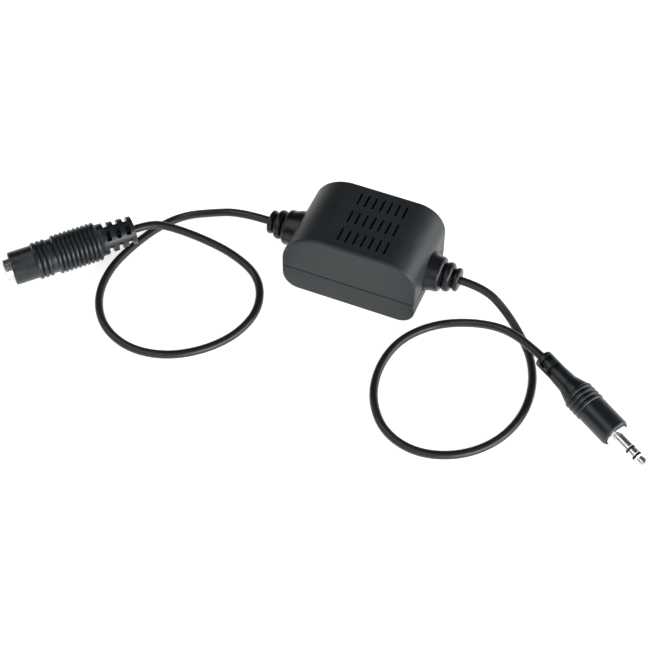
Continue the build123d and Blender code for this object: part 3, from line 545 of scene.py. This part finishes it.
# Rolled sheets on edge under varnish: grey stripes with a dull metal shine.
core_steel, core_tree, core_output = new_material("varnished_silicon_steel")
core_place = add_node(core_tree, "ShaderNodeTexCoord").outputs["Object"]
core_sheets = add_node(core_tree, "ShaderNodeTexWave", {
    "Vector": core_place, "Scale": wave_repeat * 1000 / (drawn_coarser * lamination_mm),
    "Distortion": 0.4}, bands_direction="Y")
core_bump = add_node(core_tree, "ShaderNodeBump", {
    "Height": core_sheets.outputs["Fac"], "Strength": 0.6, "Distance": 0.05 / 1000})
core_colour = add_node(core_tree, "ShaderNodeMix", {
    "Factor": core_sheets.outputs["Fac"], "A": linear("#4a4c50"), "B": linear("#7d8084")},
    data_type="RGBA")
core_shader = add_node(core_tree, "ShaderNodeBsdfPrincipled", {
    "Base Color": core_colour.outputs["Result"], "Metallic": 0.9, "Roughness": 0.42,
    "Normal": core_bump.outputs["Normal"]})
core_tree.links.new(core_shader.outputs["BSDF"], core_output.inputs["Surface"])
repaint(core_steel, "left_channel_core", "right_channel_core")

# Black glass-filled nylon, which looks dull and slightly grey.
bobbin_nylon = moulded_plastic(
    "moulded_bobbin_nylon", "#16171a", "#222428", mottle_mm=3.0, rough=(0.4, 0.5),
    grain_mm=0.4, grain_depth_mm=0.01)
repaint(bobbin_nylon, "left_channel_bobbin", "right_channel_bobbin")

# Drawn copper wire under clear enamel: a warm red shine, broken into lines by the turns.
winding_copper, winding_tree, winding_output = new_material("enamelled_copper_wire")
winding_place = add_node(winding_tree, "ShaderNodeTexCoord").outputs["Object"]
winding_turns = add_node(winding_tree, "ShaderNodeTexWave", {
    "Vector": winding_place, "Scale": wave_repeat * 1000 / (drawn_coarser * winding_wire_mm),
    "Distortion": 0.8}, bands_direction="Z")
winding_bump = add_node(winding_tree, "ShaderNodeBump", {
    "Height": winding_turns.outputs["Fac"], "Strength": 0.8, "Distance": 0.08 / 1000})
winding_shader = add_node(winding_tree, "ShaderNodeBsdfPrincipled", {
    "Base Color": linear("#b1683a"), "Metallic": 1.0, "Roughness": 0.3,
    "Normal": winding_bump.outputs["Normal"]})
winding_tree.links.new(winding_shader.outputs["BSDF"], winding_output.inputs["Surface"])
repaint(winding_copper, "left_channel_winding", "right_channel_winding")
repaint(winding_copper, "input_ground_wire", "output_ground_wire")

# Polyester film round the winding: clear yellow and glossy, with faint creases.
film_tape = moulded_plastic(
    "yellow_polyester_film", "#c99a1e", "#d8ab2c", mottle_mm=4.0, rough=(0.22, 0.32),
    grain_mm=1.0, grain_depth_mm=0.01)
repaint(film_tape, "left_channel_tape", "right_channel_tape")


# The board is glass laminate under green solder mask, with tinned pins through it and bright
# solder cones below. Thin vinyl-covered wires come down to it from each relief. The mask is
# glossy and shows a little of the glass cloth's unevenness.
board_mask = moulded_plastic(
    "green_solder_mask", "#1d5a34", "#26693e", mottle_mm=1.2, rough=(0.25, 0.35),
    grain_mm=0.6, grain_depth_mm=0.015)
repaint(board_mask, "circuit_board")

# Tin alloy that set bright and white, with ripples 0.4 mm wide where it cooled.
tin_ripple_mm = 0.4
tin, tin_tree, tin_output = new_material("bright_tin_solder")
tin_place = add_node(tin_tree, "ShaderNodeTexCoord").outputs["Object"]
tin_noise = add_node(tin_tree, "ShaderNodeTexNoise", {
    "Vector": tin_place, "Scale": 1000 / tin_ripple_mm})
tin_bump = add_node(tin_tree, "ShaderNodeBump", {
    "Height": tin_noise.outputs["Fac"], "Strength": 0.4, "Distance": 0.04 / 1000})
tin_shader = add_node(tin_tree, "ShaderNodeBsdfPrincipled", {
    "Base Color": linear("#c3c5c8"), "Metallic": 1.0, "Roughness": 0.28,
    "Normal": tin_bump.outputs["Normal"]})
tin_tree.links.new(tin_shader.outputs["BSDF"], tin_output.inputs["Surface"])
repaint(tin, "solder_joints", "left_channel_pins", "right_channel_pins")

# Soft vinyl drawn over the thin wires, in white for the left channel and red for the right.
white_vinyl = moulded_plastic(
    "white_wire_vinyl", "#dcdad4", "#e6e4de", mottle_mm=3.0, rough=(0.35, 0.45),
    grain_mm=0.5, grain_depth_mm=0.005)
red_vinyl = moulded_plastic(
    "red_wire_vinyl", "#a5161c", "#b72026", mottle_mm=3.0, rough=(0.35, 0.45),
    grain_mm=0.5, grain_depth_mm=0.005)
repaint(white_vinyl, "input_left_wire", "output_left_wire")
repaint(red_vinyl, "input_right_wire", "output_right_wire")


# The camera stands in front, a little to the right and well above, as it did for the photograph.
# Its lens takes in 23 degrees, so the case shows with little perspective.
camera_azimuth = math.radians(22.77)
camera_elevation = math.radians(51.18)
camera_target = Vector((-0.00334, -0.02580, 0.0))
camera_distance = 0.53333
camera_back = Vector((
    math.sin(camera_azimuth) * math.cos(camera_elevation),
    -math.cos(camera_azimuth) * math.cos(camera_elevation),
    math.sin(camera_elevation),
))
camera_data = bpy.data.cameras.new("studio_camera")
camera_data.sensor_width = 36.0
camera_data.lens = 88.6
camera_data.clip_start = 0.01
camera_data.clip_end = 20.0
camera = bpy.data.objects.new("studio_camera", camera_data)
camera.location = camera_target + camera_back * camera_distance
camera.rotation_euler = camera_back.to_track_quat("Z", "Y").to_euler()
bpy.context.scene.collection.objects.link(camera)
bpy.context.scene.camera = camera


# The floor is a wide sheet of matte white paper. It also glows, but only for rays that see it
# straight or in a reflection, so that it reads as white and casts no more light on the part.
def seen_directly(tree):
    """One for camera, glossy and transmission rays, nothing for the rays that carry light."""
    rays = add_node(tree, "ShaderNodeLightPath").outputs
    mirrored = add_node(tree, "ShaderNodeMath", {
        0: rays["Is Glossy Ray"], 1: rays["Is Transmission Ray"]}, operation="MAXIMUM")
    seen = add_node(tree, "ShaderNodeMath", {
        0: rays["Is Camera Ray"], 1: mirrored.outputs["Value"]}, operation="MAXIMUM")
    return seen.outputs["Value"]


floor_half = 8.0
floor_mesh = bpy.data.meshes.new("paper_floor")
floor_corners = [(-floor_half, -floor_half, 0), (floor_half, -floor_half, 0),
                 (floor_half, floor_half, 0), (-floor_half, floor_half, 0)]
floor_mesh.from_pydata(floor_corners, [], [(0, 1, 2, 3)])
floor = bpy.data.objects.new("paper_floor", floor_mesh)
bpy.context.scene.collection.objects.link(floor)
paper, paper_tree, paper_output = new_material("white_paper_sweep")
paper_sheet = add_node(paper_tree, "ShaderNodeBsdfDiffuse", {"Color": linear("#f4f4f3")})
paper_glow_strength = 0.75
paper_share = add_node(paper_tree, "ShaderNodeMath", {
    0: seen_directly(paper_tree), 1: paper_glow_strength}, operation="MULTIPLY")
paper_glow = add_node(paper_tree, "ShaderNodeEmission", {
    "Color": linear("#ffffff"), "Strength": paper_share.outputs["Value"]})
paper_sum = add_node(paper_tree, "ShaderNodeAddShader", {
    0: paper_sheet.outputs["BSDF"], 1: paper_glow.outputs["Emission"]})
paper_tree.links.new(paper_sum.outputs["Shader"], paper_output.inputs["Surface"])
floor_mesh.materials.append(paper)


# A soft light stands in front, a long panel at the right end, a small one low to the right and
# a soft light to the left, as far off as in a small studio, and all of them shine on the part.
def soft_light(name, toward, distance, width, height, watts):
    """An area lamp that shines on the part from one direction, with its height upright."""
    lamp_data = bpy.data.lights.new(name, "AREA")
    lamp_data.shape = "RECTANGLE"
    lamp_data.size = width
    lamp_data.size_y = height
    lamp_data.energy = watts
    lamp = bpy.data.objects.new(name, lamp_data)
    aim = Vector(toward).normalized()
    lamp.location = camera_target + aim * distance
    lamp.rotation_euler = aim.to_track_quat("Z", "Y").to_euler()
    bpy.context.scene.collection.objects.link(lamp)


soft_light("front_softbox", toward=(-0.10, -0.70, 0.69), distance=1.4,
           width=1.0, height=0.9, watts=3.9)
soft_light("right_panel", toward=(0.98, -0.05, 0.24), distance=1.4,
           width=2.4, height=0.90, watts=37)
soft_light("low_panel", toward=(0.68, -0.68, 0.26), distance=1.4,
           width=0.7, height=0.7, watts=5.5)
soft_light("left_softbox", toward=(-0.62, -0.20, 0.76), distance=1.3,
           width=1.0, height=0.9, watts=4.5)


# The room is white round the horizon and dark overhead and to the left, as black plastic needs
# it to show its form. Its strength is one fade over the height times another from side to side.
world = bpy.data.worlds.new("pale_room")
bpy.context.scene.world = world
world.use_nodes = True
room = world.node_tree
room.nodes.clear()
room_direction = add_node(room, "ShaderNodeTexCoord").outputs["Generated"]
room_axes = add_node(room, "ShaderNodeSeparateXYZ", {"Vector": room_direction})
room_fade = add_node(room, "ShaderNodeMapRange", {
    "Value": room_axes.outputs["Z"], "From Min": 0.1, "From Max": 0.5,
    "To Min": 1.0, "To Max": 0.14})
room_side = add_node(room, "ShaderNodeMapRange", {
    "Value": room_axes.outputs["X"], "From Min": -0.6, "From Max": 0.6,
    "To Min": 0.15, "To Max": 1.0})
room_strength = add_node(room, "ShaderNodeMath", {
    0: room_fade.outputs["Result"], 1: room_side.outputs["Result"]}, operation="MULTIPLY")
room_light = add_node(room, "ShaderNodeBackground", {
    "Color": linear("#ffffff"), "Strength": room_strength.outputs["Value"]})
room_output = add_node(room, "ShaderNodeOutputWorld")
room.links.new(room_light.outputs["Background"], room_output.inputs["Surface"])

bpy.context.scene.view_settings.view_transform = "Standard"
